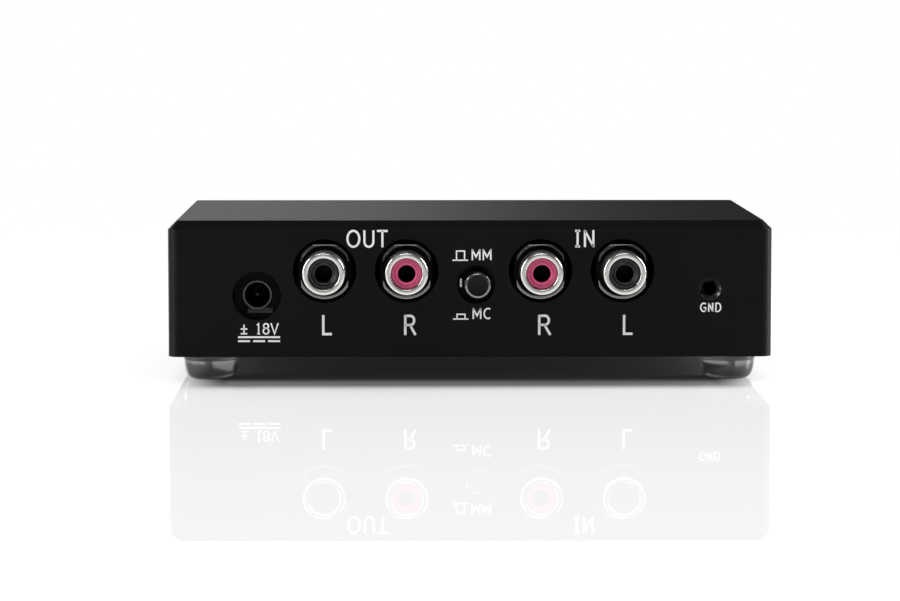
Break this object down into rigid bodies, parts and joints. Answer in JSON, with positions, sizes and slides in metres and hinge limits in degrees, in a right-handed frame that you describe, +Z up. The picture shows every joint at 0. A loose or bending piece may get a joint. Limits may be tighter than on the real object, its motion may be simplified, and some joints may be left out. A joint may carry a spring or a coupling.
{
  "type": "phono preamplifier",
  "caption": "Small black metal phono preamplifier on soft feet, with phono input and output jacks, a cartridge selector button, a mains adapter inlet and a ground socket.",
  "frame": {"origin": "middle of the footprint on the surface that the feet stand on", "axes": "+Z up, +X to the right as the jack panel is seen, the jack panel faces -Y"},
  "size_m": [0.118, 0.083, 0.0316],
  "materials": {
    "black_case": "satin black powder coat",
    "zinc_steel": "zinc plated",
    "nickel": "polished nickel plate",
    "clear_foot": "clear soft polyurethane",
    "board_green": "solder mask on glass laminate",
    "black_plastic": "moulded",
    "jack_black": "moulded, semi-gloss",
    "insulator_black": "moulded, glossy",
    "insulator_red": "moulded, glossy",
    "button_black": "moulded, satin",
    "capacitor_sleeve": "shrink sleeve",
    "film_red": "dipped case",
    "resistor_black": "ceramic chip",
    "lamp_blue": "clear lens"
  },
  "bodies": {
    "housing": {"amplifier_chips": "black_plastic", "base_plate": "black_case", "base_screws": "zinc_steel", "board_screws": "zinc_steel", "board_spacers": "zinc_steel", "circuit_board": "board_green", "cover": "black_case", "electrolytic_capacitors": "capacitor_sleeve", "film_capacitors": "film_red", "foot_front_left": "clear_foot", "foot_front_right": "clear_foot", "foot_rear_left": "clear_foot", "foot_rear_right": "clear_foot", "ground_nut": "zinc_steel", "ground_socket": "nickel", "ground_tag": "nickel", "input_left_body": "jack_black", "input_left_contact": "nickel", "input_left_insulator": "insulator_black", "input_left_ring": "nickel", "input_right_body": "jack_black", "input_right_contact": "nickel", "input_right_insulator": "insulator_red", "input_right_ring": "nickel", "lamp_leads": "nickel", "latch_wire": "zinc_steel", "output_left_body": "jack_black", "output_left_contact": "nickel", "output_left_insulator": "insulator_black", "output_left_ring": "nickel", "output_right_body": "jack_black", "output_right_contact": "nickel", "output_right_insulator": "insulator_red", "output_right_ring": "nickel", "power_inlet_body": "black_plastic", "power_inlet_pin": "nickel", "power_inlet_spring": "nickel", "power_lamp": "lamp_blue", "resistors": "resistor_black", "switch_body": "black_plastic", "switch_contacts": "nickel", "switch_frame": "nickel", "switch_spring": "zinc_steel", "voltage_regulators": "black_plastic"},
    "button": {"button_cap": "button_black", "switch_plunger": "black_plastic"}
  },
  "joints": [
    {"name": "button_press", "type": "slide", "parent": "housing", "child": "button", "axis": [0, 1, 0], "range_m": [0, 0.0025], "stiffness_N_per_m": 400, "springref_m": -0.0015, "deforming": ["switch_spring"]}
  ]
}
